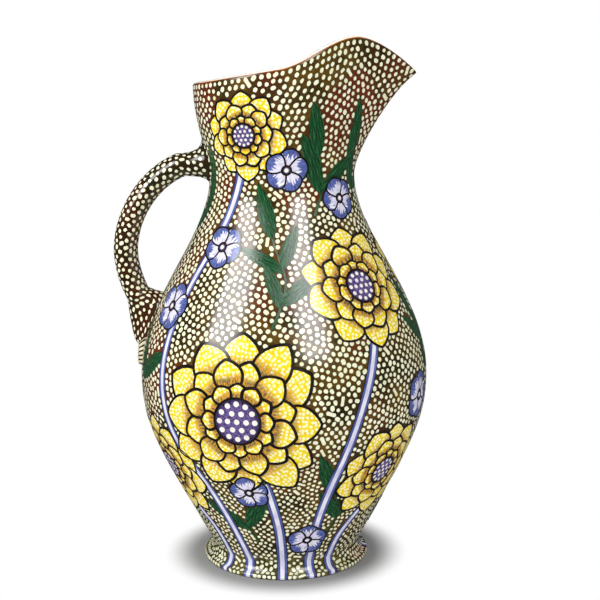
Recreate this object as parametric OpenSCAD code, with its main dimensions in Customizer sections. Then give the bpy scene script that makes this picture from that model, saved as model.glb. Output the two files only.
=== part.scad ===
// Lipped pitcher in fired clay: a round-bellied body on a turned foot ring, a flared neck with a beaked
// spout let into its front, and a strap handle that ends in a ridged tail on the belly.
// The origin is the centre of the foot's resting plane, +Z is up and +X points to the spout.

/* [Foot] */
// Radius of the foot ring at its widest edge
foot_r = 46.6; // [44:0.2:52]
// Height of the foot ring, up to the waist where the body starts
foot_h = 8.5; // [6:0.5:14]
// Height of the rounded edge at the bottom of the foot ring
foot_edge_h = 2.6; // [1.4:0.2:4]
// Radius of the hollow inside the foot ring
foot_bore_r = 32; // [24:0.5:34]

/* [Body] */
// Radius of the waist just above the foot ring
waist_r = 41.4; // [39:0.2:43]
// Lean of the body wall at the waist, from upright
waist_lean = 27; // [20:1:32]
// Height from the waist up to the widest line
lower_h = 97.5; // [85:0.5:115]
// Radius of the belly at its widest line
belly_r = 79.7; // [72:0.1:90]
// Height from the widest line up to the throat
shoulder_h = 111; // [100:0.5:130]
// Radius of the throat
throat_r = 39.4; // [36:0.2:43]
// Thickness of the body wall
wall = 4.8; // [3.6:0.1:6]
// Thickness of the floor
floor_t = 6; // [4:0.5:9]

/* [Neck] */
// Height from the throat up to the rim above the handle
neck_h = 49.5; // [44:0.5:60]
// Radius of the rim above the handle
rim_r = 47.6; // [45:0.2:52]
// Rise of the rim from the handle round to its sides
side_rise = 7.5; // [3:0.5:12]
// Thickness of the lip
lip_t = 4; // [3:0.1:4.8]

/* [Spout] */
// Distance from the axis to the tip of the spout
tip_reach = 73; // [68:0.5:80]
// Height of the tip above the rim's back
tip_rise = 6; // [2:0.5:12]
// Distance from the axis to the two crests beside the spout
crest_reach = 41; // [36:0.5:46]
// Height of the crests above the rim's back
crest_rise = 23.5; // [16:0.5:30]
// Lean of the wall at the tip, from upright
tip_lean = 54; // [44:1:60]
// Angle over which the tip is rounded in plan
tip_round = 8; // [5:0.5:12]
// Angle that the spout piece runs on past each side of its beak
spout_margin = 3; // [1:0.5:8]

/* [Handle] */
// How far the handle stands out beyond the belly
handle_out = 13.8; // [9:0.2:24]
// Thickness of the strap
handle_t = 13.2; // [10:0.2:16]
// Width of the strap
handle_w = 19; // [15:0.5:24]
// Height of the upper root's middle above the throat
handle_up = 8; // [6:0.5:12]
// Drop from the throat to the lower root's middle
handle_drop = 76; // [70:0.5:82]
// Height of the upper root on the neck
top_root_h = 29; // [24:0.5:32]
// Width of the upper root on the neck
top_root_w = 26; // [22:0.5:32]
// How far the lower root spreads up the shoulder from its middle
low_root_up = 10.5; // [8:0.5:13]
// How far the lower root runs down the belly from its middle
low_root_down = 18.5; // [15:0.5:22]
// Width of the lower root on the shoulder
low_root_w = 23; // [20:0.5:28]
// Distance from the neck at which the upper root has become the strap
top_flare = 13; // [10:0.5:16]
// Distance from the shoulder at which the lower root has become the strap
low_flare = 14; // [11:0.5:17]

/* [Tail] */
// Length of the tail below the lower root
tail_len = 11.8; // [9:0.2:15]
// Width of the tail at its top
tail_w = 16; // [12:0.5:20]
// Width of the tail at its end
tail_end_w = 9; // [6:0.5:12]
// Thickness of the tail at its top, and of the lower root where they meet
tail_top_t = 4.2; // [3.4:0.2:5.2]
// Thickness of the tail at its end
tail_end_t = 3.2; // [2.6:0.2:4.2]
// Number of ridges pressed across the tail
ridge_n = 6; // [4:1:8]
// Depth of the grooves between the ridges
ridge_d = 0.6; // [0.3:0.1:0.9]

/* [Joints] */
// Depth of the groove where two thrown sections meet
groove_d = 1.8; // [1:0.1:2.6]
// Width of the flat land on each side of that groove
land_w = 1; // [0.6:0.1:1.4]
// Room left for slip between two pieces
slip_gap = 0.2; // [0.1:0.05:0.3]

/* [Hidden] */
$fn = 96;

// Heights that the pieces share
belly_z = foot_h + lower_h;
throat_z = belly_z + shoulder_h;
rim_z = throat_z + neck_h;
tip_z = rim_z + tip_rise;
crest_z = rim_z + crest_rise;

// Pulls of the outline's curves, as shares of the height that each curve spans
waist_pull_share = 0.6;
belly_under_share = 0.28;
belly_over_share = 0.39;
throat_under_share = 0.31;
throat_over_share = 0.18;
rim_pull_share = 0.4;

// Steps along the curves and round the neck
curve_steps = 20;
cove_steps = 8;
neck_rows = 9;
neck_columns = 40;
spout_columns = 36;
lip_steps = 4;

// A point on a cubic curve, its slope there, and the share of the curve at a height
function bezier(c, t) =
    pow(1 - t, 3) * c[0] + 3 * t * pow(1 - t, 2) * c[1] + 3 * t * t * (1 - t) * c[2] + pow(t, 3) * c[3];
function slope(c, t) =
    3 * pow(1 - t, 2) * (c[1] - c[0]) + 6 * t * (1 - t) * (c[2] - c[1]) + 3 * t * t * (c[3] - c[2]);
function share_at(c, z, low = 0, high = 1, tries = 24) =
    let (mid = (low + high) / 2)
    tries == 0 ? mid
    : bezier(c, mid).y < z ? share_at(c, z, mid, high, tries - 1)
    : share_at(c, z, low, mid, tries - 1);
function mix(a, b, t) = a + (b - a) * t;
function unit(v) = v / norm(v);

// The outline as curves of radius and height: waist to belly, and belly to throat
lower_curve = [
    [waist_r, foot_h],
    [waist_r + waist_pull_share * lower_h * tan(waist_lean), foot_h + waist_pull_share * lower_h],
    [belly_r, belly_z - belly_under_share * lower_h],
    [belly_r, belly_z]
];
shoulder_curve = [
    [belly_r, belly_z],
    [belly_r, belly_z + belly_over_share * shoulder_h],
    [throat_r, throat_z - throat_under_share * shoulder_h],
    [throat_r, throat_z]
];

// A point set in from a curve by a depth, square to the curve
function inset(c, t, depth) =
    let (d = unit(slope(c, t)))
    bezier(c, t) + depth * [-d.y, d.x];
function outer_side(c) = [for (i = [0 : curve_steps]) bezier(c, i / curve_steps)];
function inner_side(c) = [for (i = [curve_steps : -1 : 0]) inset(c, i / curve_steps, wall)];

// A joint between two sections, from its outer edge to its inner edge, with a vee of the given depth
function joint_edge(r, z, depth) = [
    [r - land_w, z],
    [r - wall / 2, z - depth],
    [r - wall + land_w, z]
];
function reversed(list) = [for (i = [len(list) - 1 : -1 : 0]) list[i]];

// Radius inside the wall at the waist, where the floor is let in
floor_r = inset(lower_curve, 0, wall).x;

// Plan of the rim: a circle that runs out along its tangents to a rounded beak
beak_angle = acos(rim_r / tip_reach) + tip_round;
spout_angle = beak_angle + spout_margin;
function rim_radius(a) = rim_r / cos(max(0, beak_angle - sqrt(a * a + tip_round * tip_round)));
function beak_share(a) = (rim_radius(a) - rim_r) / (tip_reach - rim_r);

// Top of the rim over a distance along X: a slow rise to the sides, a crest, then a fall to the tip
crest_fall_power = 1.6;
side_slope = side_rise / rim_r;
function crest_ease(s) = s * s * (3 - 2 * s);
function tip_fall(x) = pow(min(1, (x - crest_reach) / (tip_reach - crest_reach)), crest_fall_power);
function rim_top(x) =
    x < 0 ? rim_z + side_rise + side_slope * x
    : x < crest_reach
        ? let (s = x / crest_reach)
          mix(rim_z + side_rise, crest_z, crest_ease(s)) + side_slope * x * pow(1 - s, 2)
    : mix(crest_z, tip_z, tip_fall(x));

// The neck's outside at an angle from the spout, as a curve of radius and height
function neck_curve(a) =
    let (r = rim_radius(a), z = rim_top(r * cos(a)) - lip_t / 2, lean = tip_lean * beak_share(a))
    [
        [throat_r, throat_z],
        [throat_r, throat_z + throat_over_share * neck_h],
        [r - rim_pull_share * neck_h * sin(lean), z - rim_pull_share * neck_h * cos(lean)],
        [r, z]
    ];

// Its wall thins to the lip and is wider across the slanting sides of the beak
beak_wall_share = 0.5;
function neck_wall(a, t) = mix(wall, lip_t, t) * (1 + beak_wall_share * beak_share(a) * t);

// One closed section through the neck at an angle from the spout
function neck_section(a) =
    let (
        c = neck_curve(a),
        outside = [for (i = [0 : neck_rows]) bezier(c, i / neck_rows)],
        inside = [for (i = [neck_rows : -1 : 0]) outside[i] - [neck_wall(a, i / neck_rows), 0]],
        middle = (outside[neck_rows] + inside[0]) / 2,
        half = neck_wall(a, 1) / 2,
        turns = [for (i = [1 : lip_steps - 1]) 180 * i / lip_steps],
        lip = [for (b = turns) middle + [half * cos(b), lip_t / 2 * sin(b)]],
        tongue = reversed(joint_edge(throat_r, throat_z, groove_d - slip_gap)),
        flat = concat(outside, lip, inside, tongue)
    )
    [for (p = flat) [p.x * cos(a), p.x * sin(a), p.y]];

// Radius of the outside at a height, on the side of the handle
function body_r(z) =
    z < belly_z ? bezier(lower_curve, share_at(lower_curve, z)).x
    : z < throat_z ? bezier(shoulder_curve, share_at(shoulder_curve, z)).x
    : bezier(neck_curve(180), share_at(neck_curve(180), z)).x;

// A point on the handle's side of the jug, a height off its outside
function on_body(y, z, off) = let (r = body_r(z) + off) [-sqrt(r * r - y * y), y, z];

// A solid through rings of points that all have the same count. The ends of a paired loft are closed between
// points that face each other across the ring, so that a curved end keeps its curve.
module loft(rings, paired = false) {
    sides = len(rings[0]);
    last = (len(rings) - 1) * sides;
    walls = [
        for (i = [0 : len(rings) - 2], j = [0 : sides - 1])
            let (a = i * sides + j, b = i * sides + (j + 1) % sides)
            each [[a, b, a + sides], [b, b + sides, a + sides]]
    ];
    last_end = paired ? paired_end(sides) : [[for (j = [0 : sides - 1]) j]];
    first_faces = [for (face = last_end) reversed(face)];
    last_faces = [for (face = last_end) [for (j = face) last + j]];
    polyhedron([for (ring = rings) each ring], concat(walls, first_faces, last_faces));
}
function paired_end(sides) = [
    [0, 1, sides - 1],
    for (j = [1 : sides / 2 - 2])
        each [[j, j + 1, sides - j], [j + 1, sides - j - 1, sides - j]],
    [sides / 2 - 1, sides / 2, sides / 2 + 1]
];

// Path of the handle's middle line, as points of X and Z: out, down to its bulge and in to the shoulder
top_root_z = throat_z + handle_up;
low_root_z = throat_z - handle_drop;
bulge_share = 0.6;
bulge_z = mix(top_root_z, low_root_z, bulge_share);
bulge_x = -(belly_r + handle_out - handle_t / 2);
top_out_share = 0.6;
top_down_share = 0.44;
low_down_share = 0.3;
root_pull_share = 0.8;
top_root_x = -body_r(top_root_z);
low_root_x = -body_r(low_root_z);
shoulder_way = slope(shoulder_curve, share_at(shoulder_curve, low_root_z));
low_root_out = unit([-shoulder_way.y, -shoulder_way.x]);
upper_path = [
    [top_root_x, top_root_z],
    [mix(top_root_x, bulge_x, top_out_share), top_root_z],
    [bulge_x, mix(bulge_z, top_root_z, top_down_share)],
    [bulge_x, bulge_z]
];
lower_path = [
    [bulge_x, bulge_z],
    [bulge_x, mix(bulge_z, low_root_z, low_down_share)],
    [low_root_x, low_root_z] + root_pull_share * handle_t * low_root_out,
    [low_root_x, low_root_z]
];

// Sections of the strap: ovals square to the path, and the feet of its roots spread on the jug.
// An oval's first point is on the inner side, which is the lower side of the upper root.
strap_sides = 24;
strap_steps = 9;
flare_steps = 4;
foot_steps = 3;
function oval(i) = let (a = 360 * i / strap_sides) [cos(a), sin(a)];
function strap_ring(path, t) =
    let (p = bezier(path, t), d = unit(slope(path, t)))
    [
        for (i = [0 : strap_sides - 1])
            let (q = oval(i), off = handle_t / 2 * q.x)
            [p.x - d.y * off, handle_w / 2 * q.y, p.y + d.x * off]
    ];
function top_foot(s) = [
    for (i = [0 : strap_sides - 1])
        let (q = s * oval(i))
        on_body(top_root_w / 2 * q.y, top_root_z - top_root_h / 2 * q.x, slip_gap)
];

// The lower foot runs further down than up. Its edge stands off the jug, most where the tail goes on from it.
root_edge_t = 0.4;
function low_foot_z(x) = low_root_z + x * (x > 0 ? low_root_up : low_root_down);
function low_foot(s, edge = 0) = [
    for (i = [0 : strap_sides - 1])
        let (q = s * oval(i), off = edge * mix(root_edge_t, tail_top_t, pow(max(0, -q.x), 2)))
        on_body(low_root_w / 2 * q.y, low_foot_z(q.x), slip_gap + off)
];

// The flare from a foot to the strap. It leaves the jug along its surface, except that a full flare drops to
// its foot: almost straight on its outer side, and in a round hollow on its inner side.
outer_drop_share = 0.9;
inner_drop_share = 0.6;
function drop_share(x) = x < 0 ? -outer_drop_share * x : inner_drop_share * x;
function flare_ring(foot, strap, t, full = false) = [
    for (i = [0 : strap_sides - 1])
        let (
            seat = on_body(strap[i].y, strap[i].z, slip_gap),
            drop = [strap[i].x, strap[i].y, foot[i].z],
            bend = mix(seat, drop, full ? drop_share(oval(i).x) : 0)
        )
        pow(1 - t, 2) * foot[i] + 2 * t * (1 - t) * bend + t * t * strap[i]
];

// Where the flares end, as shares of the two paths
top_flare_share = top_flare / norm(upper_path[3] - upper_path[0]);
low_flare_share = 1 - low_flare / norm(lower_path[3] - lower_path[0]);

// The tail, from the lower root's curved edge down the belly: domed sections, with grooves between its ridges
tail_end_z = low_root_z - low_root_down - tail_len;
ridge_rings = 6;
dome_steps = 12;
tail_rings = ridge_rings * ridge_n;
function tail_top_z(y) =
    low_foot_z(-sqrt(max(0, 1 - pow(y / (low_root_w / 2), 2)))) - slip_gap;
function tail_z(y, s) = mix(tail_top_z(y), tail_end_z, s);
function groove(s) = ridge_d * (1 - cos(360 * ridge_n * s)) / 2;
function tail_section(s) =
    let (
        half = mix(tail_w, tail_end_w, s) / 2,
        rise = mix(tail_top_t, tail_end_t, s) - groove(s),
        dome = [for (i = [0 : dome_steps]) let (a = 180 * i / dome_steps) [half * cos(a), rise * sin(a)]],
        seat = [for (i = [dome_steps - 1 : -1 : 1]) [dome[i].x, 0]]
    )
    [for (p = concat(dome, seat)) on_body(p.x, tail_z(p.x, s), slip_gap + p.y)];

module foot_ring() {
    cove_r = foot_r - waist_r;
    cove_h = foot_h - foot_edge_h;
    edge_r = foot_edge_h / 2;
    edge = [
        for (i = [0 : cove_steps])
            let (a = 180 * i / cove_steps - 90)
            [foot_r - edge_r + edge_r * cos(a), edge_r + edge_r * sin(a)]
    ];
    cove = [
        for (i = [1 : cove_steps])
            let (a = 90 * i / cove_steps)
            [foot_r - edge_r - (cove_r - edge_r) * sin(a), foot_h - cove_h * cos(a)]
    ];
    color("darkkhaki")
        rotate_extrude()
            polygon(concat([[foot_bore_r, 0]], edge, cove, [[foot_bore_r, foot_h]]));
}

module floor_disc() {
    color("antiquewhite")
        translate([0, 0, foot_h])
            cylinder(r = floor_r - slip_gap, h = floor_t);
}

module lower_body() {
    profile = concat(
        outer_side(lower_curve),
        joint_edge(belly_r, belly_z, groove_d),
        inner_side(lower_curve),
        [[floor_r, foot_h]]
    );
    color("saddlebrown")
        rotate_extrude()
            polygon(profile);
}

module shoulder() {
    profile = concat(
        outer_side(shoulder_curve),
        joint_edge(throat_r, throat_z, groove_d),
        inner_side(shoulder_curve),
        reversed(joint_edge(belly_r, belly_z, groove_d - slip_gap))
    );
    color("sienna")
        rotate_extrude()
            polygon(profile);
}

module neck() {
    turn = 360 - 2 * spout_angle;
    color("saddlebrown")
        loft([for (i = [0 : neck_columns]) neck_section(spout_angle + turn * i / neck_columns)]);
}

module spout() {
    turn = 2 * spout_angle;
    color("sienna")
        loft([for (i = [0 : spout_columns]) neck_section(turn * i / spout_columns - spout_angle)]);
}

module handle() {
    top_strap = strap_ring(upper_path, top_flare_share);
    low_strap = strap_ring(lower_path, low_flare_share);
    rings = concat(
        [for (i = [1 : foot_steps - 1]) top_foot(i / foot_steps)],
        [for (i = [0 : flare_steps - 1]) flare_ring(top_foot(1), top_strap, i / flare_steps)],
        [for (i = [0 : strap_steps]) strap_ring(upper_path, mix(top_flare_share, 1, i / strap_steps))],
        [for (i = [1 : strap_steps]) strap_ring(lower_path, low_flare_share * i / strap_steps)],
        [for (i = [flare_steps - 1 : -1 : 0]) flare_ring(low_foot(1, 1), low_strap, i / flare_steps, true)],
        [for (i = [foot_steps : -1 : 1]) low_foot(i / foot_steps)]
    );
    color("maroon")
        loft(rings);
}

module handle_tail() {
    color("brown")
        loft([for (i = [0 : tail_rings]) tail_section(i / tail_rings)], paired = true);
}

foot_ring();
floor_disc();
lower_body();
shoulder();
neck();
spout();
handle();
handle_tail();
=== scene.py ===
from collections import defaultdict
from math import cos, pi, radians, sin

import bpy
import numpy as np
from mathutils import Matrix, Vector


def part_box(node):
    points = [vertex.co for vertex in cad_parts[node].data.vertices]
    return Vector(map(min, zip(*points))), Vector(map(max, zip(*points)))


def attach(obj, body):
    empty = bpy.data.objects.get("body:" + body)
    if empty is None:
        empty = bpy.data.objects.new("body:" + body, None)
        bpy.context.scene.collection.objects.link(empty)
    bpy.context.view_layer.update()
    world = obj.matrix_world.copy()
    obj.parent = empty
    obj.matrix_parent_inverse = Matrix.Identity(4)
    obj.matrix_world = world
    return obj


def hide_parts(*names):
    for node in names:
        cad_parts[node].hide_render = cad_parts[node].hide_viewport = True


# Looks of the lipped pitcher, built over its CAD frame. Smooth closed meshes stand for the clay pieces.
# The dotted ground, the flowers, the leaves and the stems are thin closed films of enamel laid on the
# jug's outside. Angles are in degrees. Lengths are in millimetres until a mesh is made, and so are those in
# a film's own values. The studio, and the places that a material sees, are in metres.

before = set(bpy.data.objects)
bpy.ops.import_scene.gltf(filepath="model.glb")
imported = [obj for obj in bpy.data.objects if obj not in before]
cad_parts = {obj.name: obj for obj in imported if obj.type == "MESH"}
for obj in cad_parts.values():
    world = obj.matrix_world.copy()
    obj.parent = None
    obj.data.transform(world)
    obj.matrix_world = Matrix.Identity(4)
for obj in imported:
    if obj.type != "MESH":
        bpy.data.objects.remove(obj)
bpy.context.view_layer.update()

MM = 0.001
RANDOM_SEED = 11
rng = np.random.default_rng(RANDOM_SEED)


def box_mm(node):
    """Lowest and highest corner of a CAD node, in millimetres."""
    low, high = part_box(node)
    return np.array(low) / MM, np.array(high) / MM


# Sizes that the CAD frame gives
FOOT_R, _, FOOT_H = box_mm("foot_ring")[1]
FLOOR_R, _, FLOOR_TOP = box_mm("floor_disc")[1]
BELLY_R, _, BELLY_Z = box_mm("lower_body")[1]
THROAT_Z = box_mm("shoulder")[1][2]
RIM_R = -box_mm("neck")[0][0]
TIP_REACH, _, CREST_Z = box_mm("spout")[1]
HANDLE_REACH = -box_mm("handle")[0][0]
LOW_ROOT_END = box_mm("handle")[0][2]
TAIL_END = box_mm("handle_tail")[0][2]

# Sizes and form of the foot, the body and the rim that the boxes don't show
FOOT_EDGE, FOOT_BORE, BORE_EDGE = 2.6, 32.0, 0.8
WAIST_R, WAIST_LEAN, THROAT_R = 41.4, 27.0, 39.4
WALL, LIP, FLOOR_FILLET, FLOOR_HOLE = 4.8, 4.0, 7.0, 0.01
NECK_H, SIDE_RISE, TIP_RISE = 49.5, 7.5, 6.0
RIM_Z = THROAT_Z + NECK_H
TIP_Z = RIM_Z + TIP_RISE
CREST_REACH, TIP_LEAN, TIP_ROUND, SPOUT_MARGIN = 41.0, 54.0, 8.0, 3.0
FALL_POWER, BEAK_THICKENING = 1.6, 0.5

# Shares of a stretch's height over which its lower and its upper end pull the outline
LOWER_PULLS, SHOULDER_PULLS, NECK_PULLS = (0.6, 0.28), (0.39, 0.31), (0.18, 0.4)

# Sizes of the handle that its boxes don't show
STRAP_T, STRAP_W, SINK = 13.2, 19.0, -0.3
TOP_ROOT_RISE, LOW_ROOT_DROP = 8.0, 76.0
TOP_ROOT_Z = THROAT_Z + TOP_ROOT_RISE
LOW_ROOT_Z = THROAT_Z - LOW_ROOT_DROP
TOP_ROOT_H, TOP_ROOT_W = 29.0, 26.0
LOW_ROOT_UP, LOW_ROOT_W, ROOT_EDGE_T = 10.5, 23.0, 0.4
LOW_ROOT_DOWN = LOW_ROOT_Z - LOW_ROOT_END
TOP_FLARE, LOW_FLARE, OUTER_DROP, INNER_DROP = 13.0, 14.0, 0.9, 0.6
TAIL_W, TAIL_END_W, TAIL_T, TAIL_END_T = 16.0, 9.0, 4.2, 3.2
RIDGES, RIDGE_D, TAIL_LAP, TAIL_BURIED, TAIL_ROUND_SHARE = 6, 0.7, 0.4, 0.5, 0.08

# How far down the handle bulges most, and how far its ends and its bulge pull its two curves, as shares
BULGE_SHARE, TOP_PULL, LOW_PULL, RISING_PULL, FALLING_PULL = 0.6, 0.6, 0.8, 0.44, 0.3

# Fineness of the meshes
ROUND_COLUMNS, SHEET_COLUMNS, NECK_COLUMNS, SPOUT_COLUMNS = 240, 360, 160, 120
FOOT_STEPS, LOWER_ROWS, SHOULDER_ROWS, NECK_STEPS, LIP_STEPS = 16, 50, 54, 26, 12
STRAP_SIDES, TOP_FLARE_STEPS, UPPER_STEPS, FALLING_STEPS, LOW_FLARE_STEPS = 48, 8, 30, 24, 12
TAIL_STEPS, TAIL_SIDES, FILLET_STEPS = 72, 24, 8
FINE = np.linspace(0, 1, 241)

# Small steps, of a share and of a height, that tell a direction
TINY_SHARE, NEARBY = 1e-4, 0.1


def mix(first, second, share):
    return first + (second - first) * share


def coords(*parts):
    """Points from their coordinates."""
    return np.stack(np.broadcast_arrays(*parts), axis=-1)


def unit(vectors):
    return vectors / np.linalg.norm(vectors, axis=-1, keepdims=True)


def right_of(way):
    """Unit vectors to the right of ways on a plane."""
    way = unit(way)
    return coords(way[..., 1], -way[..., 0])


def bezier(curve, share):
    """Points of a cubic curve, or of a stack of them, at shares of its length."""
    curve = np.asarray(curve, float)
    t = np.asarray(share, float)[:, None]
    a, b, c, d = (curve[..., None, i, :] for i in range(4))
    return (1 - t) ** 3 * a + 3 * t * (1 - t) ** 2 * b + 3 * t**2 * (1 - t) * c + t**3 * d


def even(line, count):
    """The same line through count points at equal distances."""
    steps = np.linalg.norm(np.diff(line, axis=0), axis=1)
    way = np.concatenate([[0], np.cumsum(steps)])
    places = np.linspace(0, way[-1], count)
    return coords(*(np.interp(places, way, part) for part in line.T))


# The outline as curves of radius and height
LOWER_H = BELLY_Z - FOOT_H
SHOULDER_H = THROAT_Z - BELLY_Z
WAIST_PULL = LOWER_PULLS[0] * LOWER_H
LOWER_CURVE = [
    [WAIST_R, FOOT_H],
    [WAIST_R + WAIST_PULL * np.tan(radians(WAIST_LEAN)), FOOT_H + WAIST_PULL],
    [BELLY_R, BELLY_Z - LOWER_PULLS[1] * LOWER_H],
    [BELLY_R, BELLY_Z],
]
SHOULDER_CURVE = [
    [BELLY_R, BELLY_Z],
    [BELLY_R, BELLY_Z + SHOULDER_PULLS[0] * SHOULDER_H],
    [THROAT_R, THROAT_Z - SHOULDER_PULLS[1] * SHOULDER_H],
    [THROAT_R, THROAT_Z],
]


def foot_line(first_turn):
    """The foot's rounded edge from a turn below or above its widest line, then its cove up to the waist."""
    edge_r = FOOT_EDGE / 2
    turn = np.radians(np.linspace(first_turn, 90, FOOT_STEPS + 1))
    edge = coords(FOOT_R - edge_r + edge_r * np.cos(turn), edge_r + edge_r * np.sin(turn))
    rise = np.linspace(0, pi / 2, FOOT_STEPS + 1)[1:]
    cove_r = FOOT_R - WAIST_R - edge_r
    cove = coords(FOOT_R - edge_r - cove_r * np.sin(rise), FOOT_H - (FOOT_H - FOOT_EDGE) * np.cos(rise))
    return np.concatenate([edge, cove])


def inset(line, depth):
    """A line set in to the left of another, square to it."""
    return line - depth * right_of(np.gradient(line, axis=0))


# The rim: a circle in plan that runs out to a rounded beak, and a top that rises to two crests
BEAK_ANGLE = np.degrees(np.arccos(RIM_R / TIP_REACH)) + TIP_ROUND
SPOUT_ANGLE = BEAK_ANGLE + SPOUT_MARGIN


def rim_radius(angle):
    angle = (angle + 180) % 360 - 180
    return RIM_R / np.cos(np.radians(np.maximum(0, BEAK_ANGLE - np.hypot(angle, TIP_ROUND))))


def beak_share(angle):
    return (rim_radius(angle) - RIM_R) / (TIP_REACH - RIM_R)


def rim_top(x):
    """Height of the rim: a slope on the handle's side, a smooth rise to the crests and a fall to the tip."""
    slope = SIDE_RISE / RIM_R
    s = np.clip(x / CREST_REACH, 0, 1)
    side = mix(RIM_Z + SIDE_RISE, CREST_Z, s * s * (3 - 2 * s)) + slope * x * (1 - s) ** 2
    fall = np.clip((x - CREST_REACH) / (TIP_REACH - CREST_REACH), 0, 1) ** FALL_POWER
    return np.where(x < CREST_REACH, side, mix(CREST_Z, TIP_Z, fall))


def neck_lines(angles, share):
    """The neck's outside at each angle from the spout, as points of radius and height."""
    radius = rim_radius(angles)
    top = rim_top(radius * np.cos(np.radians(angles))) - LIP / 2
    lean = np.radians(TIP_LEAN * beak_share(angles))
    low_pull, high_pull = (share_of_h * NECK_H for share_of_h in NECK_PULLS)
    curves = np.stack([
        coords(THROAT_R, np.full_like(top, THROAT_Z)),
        coords(THROAT_R, np.full_like(top, THROAT_Z + low_pull)),
        coords(radius - high_pull * np.sin(lean), top - high_pull * np.cos(lean)),
        coords(radius, top),
    ], axis=1)
    return bezier(curves, share)


def turned(lines, angles):
    """Points of one line, or of a line for each angle, turned about the axis."""
    a = np.radians(angles)[:, None]
    r, z = lines[..., 0], lines[..., 1]
    return coords(r * np.cos(a), r * np.sin(a), z)


class Sheet:
    """A surface to paint on: a grid of points that closes round its columns, in millimetres."""

    def __init__(self, points):
        self.points = points
        self.columns, self.rows = points.shape[:2]
        across = (np.roll(points, -1, axis=0) - np.roll(points, 1, axis=0)) / 2
        along = np.gradient(points, axis=1)
        self.normals = unit(np.cross(across, along))
        self.width = np.linalg.norm(across, axis=-1)
        self.height = np.linalg.norm(along, axis=-1)

    def sample(self, grid, column, row):
        """Values of a grid between its points."""
        column, row = np.broadcast_arrays(np.asarray(column, float), np.asarray(row, float))
        left = np.floor(column).astype(int)
        low = np.clip(np.floor(row).astype(int), 0, self.rows - 2)
        u, v = column - left, row - low
        left, right = left % self.columns, (left + 1) % self.columns
        if grid.ndim == 3:
            u, v = u[..., None], v[..., None]
        lower = mix(grid[left, low], grid[right, low], u)
        upper = mix(grid[left, low + 1], grid[right, low + 1], u)
        return mix(lower, upper, v)

    def cell_size(self, column, row):
        """Width of a column and height of a row at places."""
        return coords(self.sample(self.width, column, row), self.sample(self.height, column, row))

    def spread(self, column, row, flat):
        """Columns and rows of flat points to the right of a place and up the sheet from it."""
        rows = row + flat[..., 1] / self.sample(self.height, column, row)
        return column + flat[..., 0] / self.sample(self.width, column, rows), rows

    def raised(self, column, row, lift):
        """Points lifted off the sheet, and the sheet's normals there."""
        normals = unit(self.sample(self.normals, column, row))
        return self.sample(self.points, column, row) + lift * normals, normals


# The sheet starts at a turn under the foot's edge. Its columns count from the spout, and its front is at 270.
FIRST_TURN, FRONT = -55, 270.0
ROWS_PER_MM, NECK_ROWS = 2, 116


def jug_sheet():
    """The jug's outside up to the lip, and the number of rows below its neck."""
    lower, shoulder = (bezier(curve, FINE)[1:] for curve in (LOWER_CURVE, SHOULDER_CURVE))
    body = np.concatenate([foot_line(FIRST_TURN), lower, shoulder])
    length = np.linalg.norm(np.diff(body, axis=0), axis=1).sum()
    body = even(body, int(ROWS_PER_MM * length) + 1)
    angles = np.arange(SHEET_COLUMNS) * 360 / SHEET_COLUMNS
    necks = np.stack([even(line, NECK_ROWS + 1) for line in neck_lines(angles, FINE)])
    bodies = np.broadcast_to(body, (SHEET_COLUMNS, *body.shape))
    return Sheet(turned(np.concatenate([bodies, necks[:, 1:]], axis=1), angles)), len(body)


JUG, BODY_ROWS = jug_sheet()


def spot(turn, z):
    """Column and row of the jug's outside at a turn to the right from its front, and a height."""
    column = (FRONT + turn) * SHEET_COLUMNS / 360
    rows = np.arange(JUG.rows)
    heights = JUG.sample(JUG.points, column, rows)[:, 2]
    return column, np.interp(z, heights, rows)


# Meshes


def mesh_object(name, points, faces, corner_normals, materials, face_materials=None):
    """A piece of the jug, which rides on its one body."""
    mesh = bpy.data.meshes.new(name)
    mesh.from_pydata((points * MM).tolist(), [], faces)
    for material in materials:
        mesh.materials.append(material)
    if face_materials is not None:
        mesh.polygons.foreach_set("material_index", face_materials)
    mesh.update()
    mesh.normals_split_custom_set(corner_normals.tolist())
    piece = bpy.data.objects.new(name, mesh)
    bpy.context.scene.collection.objects.link(piece)
    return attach(piece, "root")


def keep_own(piece, values):
    """Give each point of a piece the values that its enamel is coloured by."""
    own = piece.data.attributes.new("own", "FLOAT_VECTOR", "POINT")
    own.data.foreach_set("vector", values.astype(np.float32).ravel())


def closed_round(grid, axis):
    """A grid with its first row or column once more at its end."""
    return np.concatenate([grid, grid.take([0], axis)], axis)


def cells(grid):
    """The four corners of each cell of a grid of numbers or normals."""
    near, far = grid[:-1], grid[1:]
    corners = np.stack([near[:, :-1], far[:, :-1], far[:, 1:], near[:, 1:]], axis=2)
    return corners.reshape(-1, 4, *grid.shape[2:])


def fan(middle, ring):
    """Triangles from a middle point to a closed ring."""
    return coords(middle, ring[:-1], ring[1:])


def strip_normals(points):
    return unit(np.cross(np.gradient(points, axis=0), np.gradient(points, axis=1)))


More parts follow.
